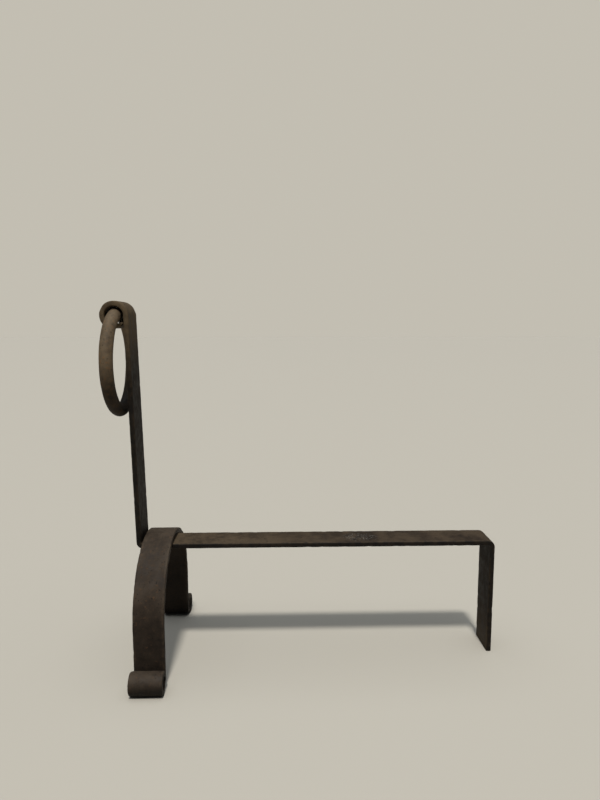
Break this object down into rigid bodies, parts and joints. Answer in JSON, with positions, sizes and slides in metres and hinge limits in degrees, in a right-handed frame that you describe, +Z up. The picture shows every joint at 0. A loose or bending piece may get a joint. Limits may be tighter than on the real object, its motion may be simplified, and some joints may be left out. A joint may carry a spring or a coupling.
{
  "type": "andiron",
  "caption": "Forged flat-bar andiron: upright with a rolled eye and a loose hanging ring, a long log bar bent down into a rear leg, and an arched front foot with rolled ends.",
  "frame": {"origin": "on the hearth, under the middle of the andiron's bounding box", "axes": "+X along the log bar from the upright to the rear leg, +Y across it, +Z up"},
  "size_m": [0.4526, 0.214, 0.417],
  "materials": {
    "bar_iron": "matte forged iron with a brown-black fire skin",
    "strap_iron": "matte forged iron with a thin brown rust",
    "rivet_iron": "matte forged iron",
    "ring_iron": "matte round bar with warm brown rust, worn smooth"
  },
  "bodies": {
    "stand": {"firedog_bar": "bar_iron", "arched_foot": "strap_iron", "rivet": "rivet_iron"},
    "ring": {"ring": "ring_iron"}
  },
  "joints": [
    {"name": "ring_swing", "type": "hinge", "parent": "stand", "child": "ring", "pos_m": [-0.21021, 0, 0.40089], "axis": [0, 1, 0], "range_deg": [-2.5, 344.5]}
  ]
}
